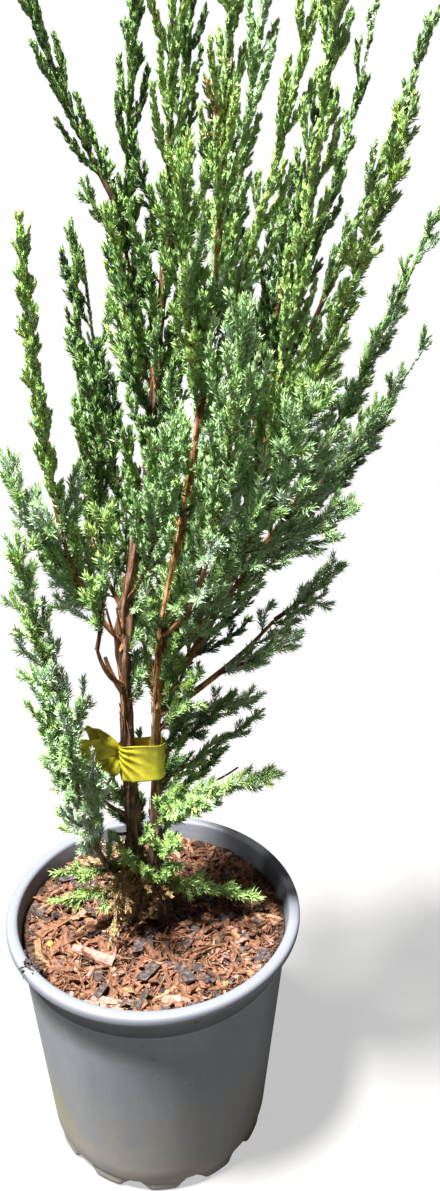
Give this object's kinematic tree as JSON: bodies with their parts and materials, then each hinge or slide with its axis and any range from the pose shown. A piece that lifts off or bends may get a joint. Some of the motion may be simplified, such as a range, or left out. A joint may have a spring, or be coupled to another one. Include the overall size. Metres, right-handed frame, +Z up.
{
  "type": "potted rocky mountain juniper",
  "caption": "Young upright rocky mountain juniper with several stems, scale-like blue-green foliage and a yellow tie, in a round grey nursery pot of bark mix.",
  "frame": {"origin": "centre of the pot's flat underside", "axes": "+Z up along the pot's axis; -Y is the side that faces the viewer in the picture; +X to the viewer's right"},
  "size_m": [0.3235, 0.2575, 0.9164],
  "materials": {
    "pot_plastic": "satin grey moulded plastic, scuffed, with a little green algae at the foot",
    "potting_mix": "moist shredded bark mix, matte",
    "bark": "thin flaking red-brown bark, matte",
    "foliage_bright": "yellow-green sunlit scale leaves",
    "foliage_blue_green": "blue-green needles with a waxy bloom",
    "foliage_dark": "deep green scale leaves",
    "foliage_juvenile": "fresh green soft needles",
    "foliage_dry": "dry tan needles",
    "tie_tape": "thin yellow plastic tape, slightly glossy"
  },
  "bodies": {
    "root": {"pot": "pot_plastic", "potting_mix": "potting_mix", "trunk": "bark", "leader_right": "bark", "leader_back": "bark", "bough_left_low": "bark", "bough_left_middle": "bark", "bough_left_high": "bark", "bough_left_back": "bark", "bough_upper_left": "bark", "bough_right_low": "bark", "bough_right_middle": "bark", "bough_right_high": "bark", "bough_right_back": "bark", "bough_right_top": "bark", "bough_back_left": "bark", "bough_back_right": "bark", "bough_front": "bark", "tie_band": "tie_tape", "tie_tail": "tie_tape", "foliage_left_peak": "foliage_dark", "foliage_left_wand": "foliage_bright", "foliage_left_spire": "foliage_dark", "foliage_left_arm": "foliage_blue_green", "foliage_low_left_outer": "foliage_blue_green", "foliage_low_left": "foliage_blue_green", "foliage_left_plume": "foliage_bright", "foliage_left_inner": "foliage_dark", "foliage_left_upper": "foliage_dark", "foliage_top_left": "foliage_dark", "foliage_top_centre": "foliage_bright", "foliage_top_back": "foliage_dark", "foliage_top_front": "foliage_bright", "foliage_top_inner": "foliage_blue_green", "foliage_top_right": "foliage_bright", "foliage_top_right_front": "foliage_bright", "foliage_top_right_back": "foliage_dark", "foliage_peak_right": "foliage_dark", "foliage_right_peak": "foliage_blue_green", "foliage_right_front": "foliage_bright", "foliage_right_back": "foliage_dark", "foliage_right_arm": "foliage_blue_green", "foliage_right_arm_back": "foliage_dark", "foliage_right_middle": "foliage_blue_green", "foliage_right_low": "foliage_blue_green", "foliage_right_lower": "foliage_blue_green", "foliage_right_wisp": "foliage_dark", "foliage_juvenile": "foliage_juvenile", "foliage_ground_right": "foliage_juvenile", "foliage_front_left": "foliage_blue_green", "foliage_front_centre": "foliage_blue_green", "foliage_front_right": "foliage_blue_green", "foliage_front_high": "foliage_blue_green", "foliage_back_left": "foliage_dark", "foliage_back_centre": "foliage_dark", "foliage_back_right": "foliage_dark", "foliage_back_high": "foliage_dark", "foliage_back_low": "foliage_dark", "foliage_foot_left": "foliage_blue_green", "foliage_foot_dry": "foliage_dry"}
  },
  "joints": []
}
